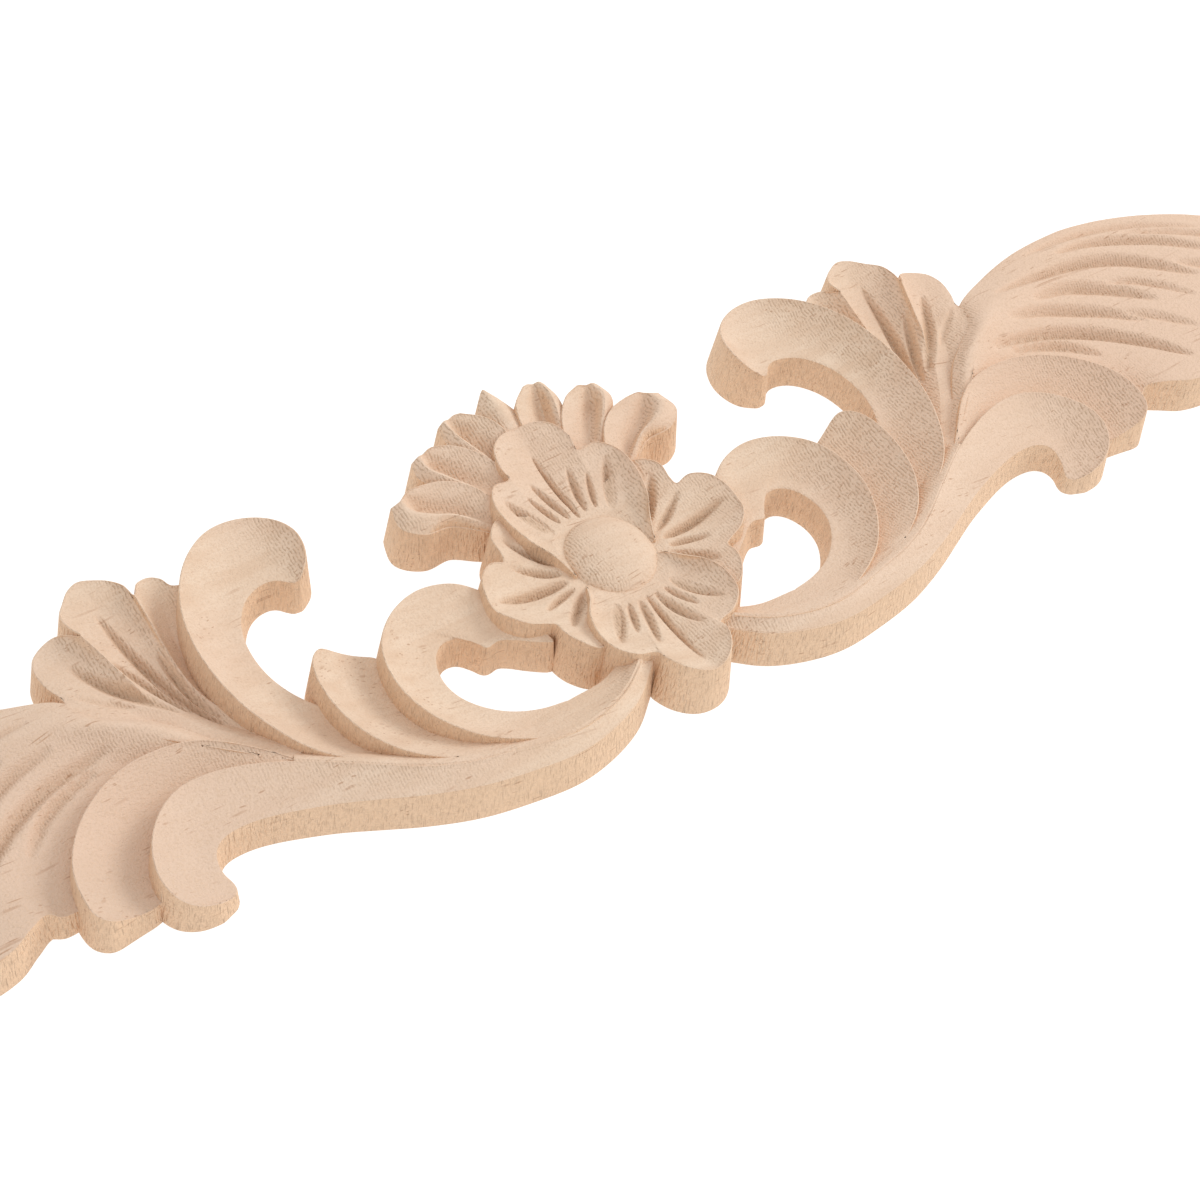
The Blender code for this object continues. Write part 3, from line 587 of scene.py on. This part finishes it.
palmette = {
    "hookLobe": [
        [(8, 13, 6.0), (11, 18.0, 9.0), (13.2, 21.4, 9.6), (16.2, 23.6, 9.8), (19.5, 24.5, 9.8),
         (21.6, 24.7, 9.7)],
        [(9, 12.5, 6.0), (12.5, 16.7, 8.0), (15, 19.5, 8.3), (17.6, 21.6, 8.5), (20.2, 23.1, 8.9),
         (22.4, 24.6, 9.6)],
        [(10, 12, 6.0), (14, 15.7, 6.8), (16.8, 18, 6.6), (19.4, 19.8, 6.6), (21.8, 22, 7.2),
         (23.2, 24.3, 9.3)],
        [(10.6, 11.6, 6.0), (14.8, 15.0, 8.0), (18, 17.3, 9.1), (21.4, 18.6, 9.7), (24, 20.8, 9.8),
         (24.2, 23.6, 9.4)],
        [(11.2, 11.2, 5.5), (15.4, 14.2, 6.8), (19, 16.6, 7.2), (23.6, 16.7, 8.0), (26.6, 19.4, 8.4),
         (25.8, 23.6, 8.6)],
    ],
    "thirdLobe": [
        [(4.5, 17, 6.0), (6.5, 23.2, 9.2), (8.2, 26.4, 9.7), (11.2, 29.5, 9.8), (14, 30.6, 9.8)],
        [(6, 16.5, 6.0), (8.5, 22.2, 8.1), (10.6, 25.4, 8.5), (13, 28.4, 8.8), (14.8, 30.6, 9.6)],
        [(7.5, 16, 6.0), (10.6, 21, 7.0), (13, 24.4, 6.7), (15, 27.4, 6.9), (15.8, 30.4, 9.2)],
        [(8.5, 15.6, 6.0), (12, 20.4, 8.8), (14.8, 23.8, 9.6), (16.8, 27, 9.8), (16.8, 30.1, 9.5)],
        [(9.5, 15.2, 5.5), (13.4, 20, 7.6), (16.6, 23.4, 8.2), (18.7, 27, 8.4), (18, 30, 8.6)],
    ],
    "secondLobe": [
        [(0.4, 18, 6.0), (0.9, 24.3, 7.6), (1.5, 28.4, 9.6), (2.9, 31.9, 9.8), (6.0, 34.6, 9.8)],
        [(2.2, 18, 6.0), (2.7, 24.2, 7.2), (3.6, 28, 8.5), (5.1, 31.4, 8.8), (7.1, 34.9, 9.6)],
        [(4.0, 18, 6.0), (5.0, 24, 6.6), (6.3, 27.6, 6.7), (7.6, 31, 6.9), (8.2, 34.8, 9.2)],
        [(5.2, 18, 6.0), (6.6, 23.7, 8.8), (8, 27.2, 9.6), (9.1, 31, 9.8), (9.2, 34.6, 9.5)],
        [(6.4, 18, 5.5), (8.2, 23.4, 7.8), (9.8, 27, 8.2), (10.8, 31, 8.4), (10.3, 34.4, 8.6)],
    ],
    "middleEdge": [(4.2, 22, 5.8), (3.9, 27, 7.4), (3.4, 31.5, 7.8), (2.2, 35.2, 8.2), (0.5, 37.1, 9.2)],
    "middleSpine": [(0, 22, 6.4), (0, 27, 8.8), (0, 31.5, 9.9), (0, 35.4, 9.9), (0, 37.3, 9.7)],
    "step": 0.5,
}


def carvePalmette():
    for name in ("hookLobe", "thirdLobe", "secondLobe"):
        addBlock("palmette" + name[0].upper() + name[1:], railTable(palmette[name], palmette["step"]))
    edge = palmette["middleEdge"]
    other = [(-x, y, z) for x, y, z in edge]
    table = railTable([edge, palmette["middleSpine"], other], palmette["step"])
    addBlock("palmetteMiddleLobe", table, False)


def addPlainBlock(place, size):
    deselectAll()
    bpy.ops.mesh.primitive_cube_add(size=1.0, location=place)
    block = bpy.context.active_object
    block.scale = size
    bpy.ops.object.transform_apply(location=True, rotation=True, scale=True)
    return block


# one closed carving from all the blocks, less what is below the flat back
def joinBlocks():
    group = bpy.data.collections.new("carvedBlocks")
    bpy.context.scene.collection.children.link(group)
    for block in blocks:
        for owner in list(block.users_collection):
            owner.objects.unlink(block)
        group.objects.link(block)
    applique = addPlainBlock(carving["seedPlace"], carving["seedSize"])
    applique.name = "carvedApplique"
    join = applique.modifiers.new("join", "BOOLEAN")
    join.operation = "UNION"
    join.operand_type = "COLLECTION"
    join.collection = group
    join.solver = "EXACT"
    bpy.ops.object.modifier_apply(modifier=join.name)
    report("joined %d blocks, %d faces" % (len(blocks), len(applique.data.polygons)))
    trim = addPlainBlock(carving["trimPlace"], carving["trimSize"])
    makeActive(applique)
    trimming = applique.modifiers.new("flatBack", "BOOLEAN")
    trimming.operation = "DIFFERENCE"
    trimming.object = trim
    trimming.solver = "EXACT"
    bpy.ops.object.modifier_apply(modifier=trimming.name)
    for piece in blocks + [trim]:
        bpy.data.objects.remove(piece)
    bpy.data.collections.remove(group)
    return applique


# triangles, no more of them than mostTriangles, with the back laid flat again
def thinCarving(applique):
    bpy.ops.object.mode_set(mode="EDIT")
    bpy.ops.mesh.select_all(action="SELECT")
    bpy.ops.mesh.quads_convert_to_tris(quad_method="SHORTEST_DIAGONAL", ngon_method="BEAUTY")
    bpy.ops.object.mode_set(mode="OBJECT")
    count = len(applique.data.polygons)
    if count > carving["mostTriangles"]:
        fewer = applique.modifiers.new("fewer", "DECIMATE")
        fewer.ratio = carving["mostTriangles"] / count
        bpy.ops.object.modifier_apply(modifier=fewer.name)
        applique.data.validate()
    places = readPlaces(applique)
    places[places[:, 2] < carving["flatBelow"], 2] = 0.0
    writePlaces(applique, places)
    report("carving has %d triangles" % len(applique.data.polygons))


# keeps how deep each place is gouged, for the painted shade in the gouges
def markGouges(applique):
    places = readPlaces(applique)
    x, y = np.abs(places[:, 0]), places[:, 1]
    depth = longLeaf["gougeShadeShare"] * gougeDepth(x, y, longLeaf["gouges"])
    for gouges in (fan["gouges"], flower["upperGouges"], flower["lowerGouges"], flower["sideGouges"]):
        depth = np.maximum(depth, gougeDepth(x, y, gouges))
    gouged = applique.data.attributes.new("gouged", "FLOAT", "POINT")
    gouged.data.foreach_set("value", np.where(places[:, 2] > carving["foot"], depth, 0.0))


def joinCarving():
    applique = joinBlocks()
    thinCarving(applique)
    markGouges(applique)
    bpy.ops.object.shade_smooth_by_angle(angle=math.radians(carving["smoothAngle"]))
    return applique


studio = {
    "cameraPlace": (-168.7, -184.9, 300.0),
    "pitch": 50.6,                         # degrees below level
    "roll": 9.87,
    "yaw": 42.29,                          # degrees from Y towards X
    "lens": 73.98,
    "sensor": 36.0,
    "clipStart": 0.01,                     # metres from here on
    "floorSize": 4.0,
    "floorPlace": (0, 0, -0.00005),
    "floorColour": (0.3, 0.3, 0.3, 1),
    "floorRoughness": 0.9,
    "floorGlow": 0.9,
    "white": (1, 1, 1, 1),
    "surround": 0.83,
    "keyPlace": (2.2, -0.35, 1.6),
    "keySize": 1.3,
    "keyPower": 27.0,
    "keyColour": (1, 0.985, 0.965),
}


def addCamera():
    pitch = math.radians(studio["pitch"])
    roll = math.radians(studio["roll"])
    yaw = math.radians(studio["yaw"])
    look = Vector((math.sin(yaw) * math.cos(pitch), math.cos(yaw) * math.cos(pitch), -math.sin(pitch)))
    level = Vector((math.cos(yaw), -math.sin(yaw), 0.0))
    lift = level.cross(look)
    right = math.cos(roll) * level + math.sin(roll) * lift
    up = -math.sin(roll) * level + math.cos(roll) * lift
    deselectAll()
    bpy.ops.object.camera_add()
    camera = bpy.context.active_object
    camera.name = "photoCamera"
    place = Vector(studio["cameraPlace"]) * mm
    camera.matrix_world = Matrix.Translation(place) @ Matrix((right, up, -look)).transposed().to_4x4()
    camera.data.lens = studio["lens"]
    camera.data.sensor_width = studio["sensor"]
    camera.data.clip_start = studio["clipStart"]
    bpy.context.scene.camera = camera
    report("camera placed")


# a square area light turned towards the object
def addKeyLight():
    deselectAll()
    bpy.ops.object.light_add(type="AREA", location=studio["keyPlace"])
    lamp = bpy.context.active_object
    lamp.name = "keyLight"
    lamp.data.shape = "SQUARE"
    lamp.data.size = studio["keySize"]
    lamp.data.energy = studio["keyPower"]
    lamp.data.color = studio["keyColour"]
    aim = -Vector(studio["keyPlace"])
    lamp.rotation_euler = aim.to_track_quat("-Z", "Y").to_euler()


def addStudio():
    deselectAll()
    bpy.ops.mesh.primitive_plane_add(size=studio["floorSize"], location=studio["floorPlace"])
    floor = bpy.context.active_object
    floor.name = "studioFloor"
    paint = bpy.data.materials.new("floorPaint")
    paint.use_nodes = True
    shader = paint.node_tree.nodes["Principled BSDF"]
    shader.inputs["Base Color"].default_value = studio["floorColour"]
    shader.inputs["Roughness"].default_value = studio["floorRoughness"]
    shader.inputs["Specular IOR Level"].default_value = 0.0
    shader.inputs["Emission Color"].default_value = studio["white"]
    shader.inputs["Emission Strength"].default_value = studio["floorGlow"]
    floor.data.materials.append(paint)
    world = bpy.data.worlds.new("studioWorld")
    world.use_nodes = True
    background = world.node_tree.nodes["Background"]
    background.inputs["Color"].default_value = studio["white"]
    background.inputs["Strength"].default_value = studio["surround"]
    bpy.context.scene.world = world
    bpy.context.scene.view_settings.view_transform = "Standard"
    addKeyLight()
    report("studio lit")


wood = {
    "lit": (0.845, 0.660, 0.505, 1),       # the palest early wood
    "deep": (0.775, 0.570, 0.415, 1),      # the darker bands
    "rosy": (0.820, 0.600, 0.460, 1),      # a pinker tone that comes and goes
    "dim": (0.725, 0.535, 0.410, 1),       # towards one end of the board
    "blush": (0.825, 0.590, 0.440, 1),     # and towards the other
    "side": (0.830, 0.565, 0.365, 1),      # sawn sides, warmer than the tops; partly the cut wood's own tone, partly painted shade on the upright sides
    "pore": (0.470, 0.260, 0.150, 1),
    "speck": (0.690, 0.490, 0.340, 1),     # fine mottling everywhere
    "gougeShade": (0.560, 0.375, 0.245, 1),      # painted shade at the bottom of gouges
    "shade": (0.520, 0.350, 0.225, 1),     # painted shade in the low places between cutter passes
    "poreShare": 0.66,                     # how much of each colour shows where it is strongest
    "vesselShare": 0.6,                    # of the pores' own
    "rosyShare": 0.5,
    "sideShare": 0.8,
    "fibreShare": 0.28,
    "speckShare": 0.5,
    "gougeShadeShare": 0.6,
    "shadeShare": 0.72,
    "dimReach": (-0.050, -0.095, 0.0, 0.85),     # metres along the board, and the share there
    "blushReach": (0.060, 0.100, 0.0, 0.8),
    "roughness": 0.74,
    "smoother": 0.06,                      # roughness changes by this much either way
    "rougher": 0.10,
    "specular": 0.22,
    "linePitch": 0.00048,                  # metres between passes of the carving cutter
    "lineWander": 1.1,                     # passes by which a line strays
    "poreSpacing": 0.0011,
    "poreWander": 0.0028,
    "vesselSpacing": 0.0021,               # fewer, larger and longer pores
    "vesselWander": 0.0022,
    "lineRelief": 0.045,                   # millimetres of bump
    "sideRelief": 0.60,
    "fuzzRelief": 0.17,
}

# cycles of each noise pattern in a metre, along X, Y and Z
grain = {
    "bands": (22, 330, 330),               # growth bands, long in X
    "clouds": (26, 60, 60),
    "fibres": (120, 3600, 3600),
    "fuzz": (2100, 3200, 3200),
    "strokes": (2300, 2300, 420),          # saw marks, upright on the sides
    "poreDrift": (75, 260, 260),
    "poreCrowds": (160, 220, 220),
    "lineWaver": (300, 900, 300),
    "lineBreaks": (1100, 2000, 2000),
}


# a new node group with named sockets: each is its name, kind and starting value
def newGroup(name, inputs, outputs):
    group = bpy.data.node_groups.new(name, "ShaderNodeTree")
    for label, kind, value in inputs:
        socket = group.interface.new_socket(name=label, in_out="INPUT", socket_type="NodeSocket" + kind)
        socket.default_value = value
    for label, kind in outputs:
        group.interface.new_socket(name=label, in_out="OUTPUT", socket_type="NodeSocket" + kind)
    return group, group.nodes.new("NodeGroupInput"), group.nodes.new("NodeGroupOutput")


def addNode(tree, kind, **settings):
    node = tree.nodes.new(kind)
    for key, value in settings.items():
        setattr(node, key, value)
    return node


# a Math node fed by sockets or numbers
def mathNode(tree, operation, *values):
    node = addNode(tree, "ShaderNodeMath", operation=operation)
    for k, value in enumerate(values):
        if isinstance(value, (int, float)):
            node.inputs[k].default_value = value
        else:
            tree.links.new(value, node.inputs[k])
    return node.outputs[0]


def objectPlace(tree):
    return addNode(tree, "ShaderNodeTexCoord").outputs["Object"]


# the X, Y and Z of a vector
def partsOf(tree, vector):
    parts = addNode(tree, "ShaderNodeSeparateXYZ")
    tree.links.new(vector, parts.inputs[0])
    return parts.outputs


# the X, Y and Z of the way the surface faces
def facingParts(tree):
    surface = addNode(tree, "ShaderNodeNewGeometry")
    return partsOf(tree, surface.outputs["Normal"])


# one of the noise patterns of the grain
def noiseNode(tree, pattern, detail, roughness=0.5):
    mapping = addNode(tree, "ShaderNodeMapping")
    mapping.inputs["Scale"].default_value = grain[pattern]
    tree.links.new(objectPlace(tree), mapping.inputs["Vector"])
    noise = addNode(tree, "ShaderNodeTexNoise")
    noise.inputs["Scale"].default_value = 1.0
    noise.inputs["Detail"].default_value = detail
    noise.inputs["Roughness"].default_value = roughness
    tree.links.new(mapping.outputs["Vector"], noise.inputs["Vector"])
    return noise.outputs


# a value moved from one range to another, and kept inside it
def rangeNode(tree, value, fromMin, fromMax, toMin=0.0, toMax=1.0):
    node = addNode(tree, "ShaderNodeMapRange")
    for k, number in enumerate((fromMin, fromMax, toMin, toMax)):
        node.inputs[k + 1].default_value = number
    tree.links.new(value, node.inputs[0])
    return node.outputs[0]


def mixColour(tree, factor, first, second):
    node = addNode(tree, "ShaderNodeMix", data_type="RGBA")
    tree.links.new(factor, node.inputs["Factor"])
    for socket, value in ((node.inputs[6], first), (node.inputs[7], second)):
        if isinstance(value, tuple):
            socket.default_value = value
        else:
            tree.links.new(value, socket)
    return node.outputs[2]


# vessels of the wood: long tubes along X that wander, so a cut shows each as a short dash
def poreGroup():
    group, given, made = newGroup("woodPores", [("Spacing", "Float", 0.001), ("Wander", "Float", 0.002)],
                                  [("Mask", "Float")])
    drift = partsOf(group, noiseNode(group, "poreDrift", 0.0)["Color"])
    place = partsOf(group, objectPlace(group))
    across = addNode(group, "ShaderNodeCombineXYZ")
    for k in (0, 1):
        shift = mathNode(group, "SUBTRACT", drift[k + 1], 0.5)
        shift = mathNode(group, "MULTIPLY", shift, given.outputs["Wander"])
        moved = mathNode(group, "ADD", place[k + 1], shift)
        group.links.new(mathNode(group, "DIVIDE", moved, given.outputs["Spacing"]), across.inputs[k])
    cells = addNode(group, "ShaderNodeTexVoronoi", voronoi_dimensions="2D")
    cells.inputs["Scale"].default_value = 1.0
    group.links.new(across.outputs[0], cells.inputs["Vector"])
    tube = rangeNode(group, cells.outputs["Distance"], 0.05, 0.115, 1.0, 0.0)
    here = rangeNode(group, noiseNode(group, "poreCrowds", 1.0)["Fac"], 0.49, 0.62)
    group.links.new(mathNode(group, "MULTIPLY", tube, here), made.inputs["Mask"])
    return group


# cutter passes: fine lines across the grain, strongest where the surface climbs along X, facing away from
# the key light, or is gouged; in the colour their low places are painted shade
def passGroup():
    group, given, made = newGroup("cutterPasses", [("Pitch", "Float", 0.0005), ("Gouging", "Float", 0.0)],
                                  [("Height", "Float")])
    place = partsOf(group, objectPlace(group))
    turns = mathNode(group, "DIVIDE", place[0], given.outputs["Pitch"])
    waver = mathNode(group, "MULTIPLY", noiseNode(group, "lineWaver", 0.0)["Fac"], wood["lineWander"])
    turns = mathNode(group, "ADD", turns, waver)
    wave = mathNode(group, "SINE", mathNode(group, "MULTIPLY", turns, 2 * math.pi))
    facing = facingParts(group)
    # painted shade: slopes facing away from the key light get the strongest lines
    shadedSlopeOrGouge = rangeNode(group, facing[0], -0.06, -0.46, 0.08, 1.0)
    shadedSlopeOrGouge = mathNode(group, "MAXIMUM", shadedSlopeOrGouge, rangeNode(group, given.outputs["Gouging"], 0.1, 1.0, 0.0, 1.2))
    breaks = rangeNode(group, noiseNode(group, "lineBreaks", 0.0)["Fac"], 0.38, 0.58, 0.1, 1.0)
    shadedSlopeOrGouge = mathNode(group, "MULTIPLY", shadedSlopeOrGouge, breaks)
    shadedSlopeOrGouge = mathNode(group, "MULTIPLY", shadedSlopeOrGouge, rangeNode(group, facing[2], 0.35, 0.6))
    group.links.new(mathNode(group, "MULTIPLY", wave, shadedSlopeOrGouge), made.inputs["Height"])
    return group


# how much a place lies on a side wall, by the way it faces
def wallGroup():
    group, _, made = newGroup("sideWalls", [], [("Mask", "Float")])
    upright = mathNode(group, "ABSOLUTE", facingParts(group)[2])
    group.links.new(rangeNode(group, upright, 0.30, 0.62, 1.0, 0.0), made.inputs["Mask"])
    return group


def placeGroup(tree, group, **values):
    node = addNode(tree, "ShaderNodeGroup", node_tree=group)
    for label, value in values.items():
        node.inputs[label].default_value = value
    return node


def woodMaterial():
    material = bpy.data.materials.new("paleRubberwood")
    material.use_nodes = True
    tree = material.node_tree
    shader = tree.nodes["Principled BSDF"]
    poreNodes = poreGroup()
    pores = placeGroup(tree, poreNodes, Spacing=wood["poreSpacing"], Wander=wood["poreWander"])
    vessels = placeGroup(tree, poreNodes, Spacing=wood["vesselSpacing"], Wander=wood["vesselWander"])
    passes = placeGroup(tree, passGroup(), Pitch=wood["linePitch"])
    walls = placeGroup(tree, wallGroup())
    gouged = addNode(tree, "ShaderNodeAttribute", attribute_name="gouged")
    tree.links.new(gouged.outputs["Fac"], passes.inputs["Gouging"])
    bands = rangeNode(tree, noiseNode(tree, "bands", 2.0, 0.6)["Fac"], 0.35, 0.68)
    colour = mixColour(tree, bands, wood["lit"], wood["deep"])
    place = partsOf(tree, objectPlace(tree))
    slanted = mathNode(tree, "ADD", place[0], mathNode(tree, "MULTIPLY", place[1], 0.5))
    colour = mixColour(tree, rangeNode(tree, slanted, *wood["dimReach"]), colour, wood["dim"])
    colour = mixColour(tree, rangeNode(tree, place[0], *wood["blushReach"]), colour, wood["blush"])
    clouds = noiseNode(tree, "clouds", 0.0)["Fac"]
    pink = rangeNode(tree, clouds, 0.42, 0.66, 0.0, wood["rosyShare"])
    colour = mixColour(tree, pink, colour, wood["rosy"])
    # the upright sides take a warmer, darker tone: partly their own, partly painted shade
    sideToneAndShade = mathNode(tree, "MULTIPLY", walls.outputs["Mask"], wood["sideShare"])
    colour = mixColour(tree, sideToneAndShade, colour, wood["side"])
    fibres = noiseNode(tree, "fibres", 1.0, 0.65)["Fac"]
    dark = rangeNode(tree, fibres, 0.52, 0.80, 0.0, wood["fibreShare"])
    colour = mixColour(tree, dark, colour, wood["deep"])
    fuzz = noiseNode(tree, "fuzz", 1.0, 0.7)["Fac"]
    specks = rangeNode(tree, fuzz, 0.48, 0.72, 0.0, wood["speckShare"])
    colour = mixColour(tree, specks, colour, wood["speck"])
    # painted shade: the gouges darken with their depth
    gougeShadeAmount = rangeNode(tree, gouged.outputs["Fac"], 0.1, 1.2, 0.0, wood["gougeShadeShare"])
    colour = mixColour(tree, gougeShadeAmount, colour, wood["gougeShade"])
    # painted shade between the cutter passes
    passShade = rangeNode(tree, passes.outputs["Height"], -1.0, 0.0, wood["shadeShare"], 0.0)
    colour = mixColour(tree, passShade, colour, wood["shade"])
    faint = mathNode(tree, "MULTIPLY", vessels.outputs["Mask"], wood["vesselShare"])
    holes = mathNode(tree, "MAXIMUM", pores.outputs["Mask"], faint)
    colour = mixColour(tree, mathNode(tree, "MULTIPLY", holes, wood["poreShare"]), colour, wood["pore"])
    tree.links.new(colour, shader.inputs["Base Color"])
    smoothest = wood["roughness"] - wood["smoother"]
    roughest = wood["roughness"] + wood["rougher"]
    tree.links.new(rangeNode(tree, fibres, 0.3, 0.8, smoothest, roughest), shader.inputs["Roughness"])
    shader.inputs["Specular IOR Level"].default_value = wood["specular"]
    strokes = mathNode(tree, "MULTIPLY", noiseNode(tree, "strokes", 1.0, 0.65)["Fac"], walls.outputs["Mask"])
    height = mathNode(tree, "MULTIPLY", passes.outputs["Height"], wood["lineRelief"])
    height = mathNode(tree, "ADD", height, mathNode(tree, "MULTIPLY", strokes, wood["sideRelief"]))
    height = mathNode(tree, "ADD", height, mathNode(tree, "MULTIPLY", fuzz, wood["fuzzRelief"]))
    bump = addNode(tree, "ShaderNodeBump")
    bump.inputs["Strength"].default_value = 1.0
    bump.inputs["Distance"].default_value = mm
    tree.links.new(height, bump.inputs["Height"])
    tree.links.new(bump.outputs["Normal"], shader.inputs["Normal"])
    report("wood finish made")
    return material


carveStem()
report("stem carved")
carveLeaves()
report("scroll, small leaf, curl and second lobe carved")
carveFan()
carveLongLeaf()
report("fan and long leaf carved")
carveFlower()
carveBoss()
report("flower carved")
carvePalmette()
report("palmette carved")
applique = joinCarving()
applique.data.materials.clear()
applique.data.materials.append(woodMaterial())
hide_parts("floral_applique")
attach(applique, "root")
addCamera()
addStudio()
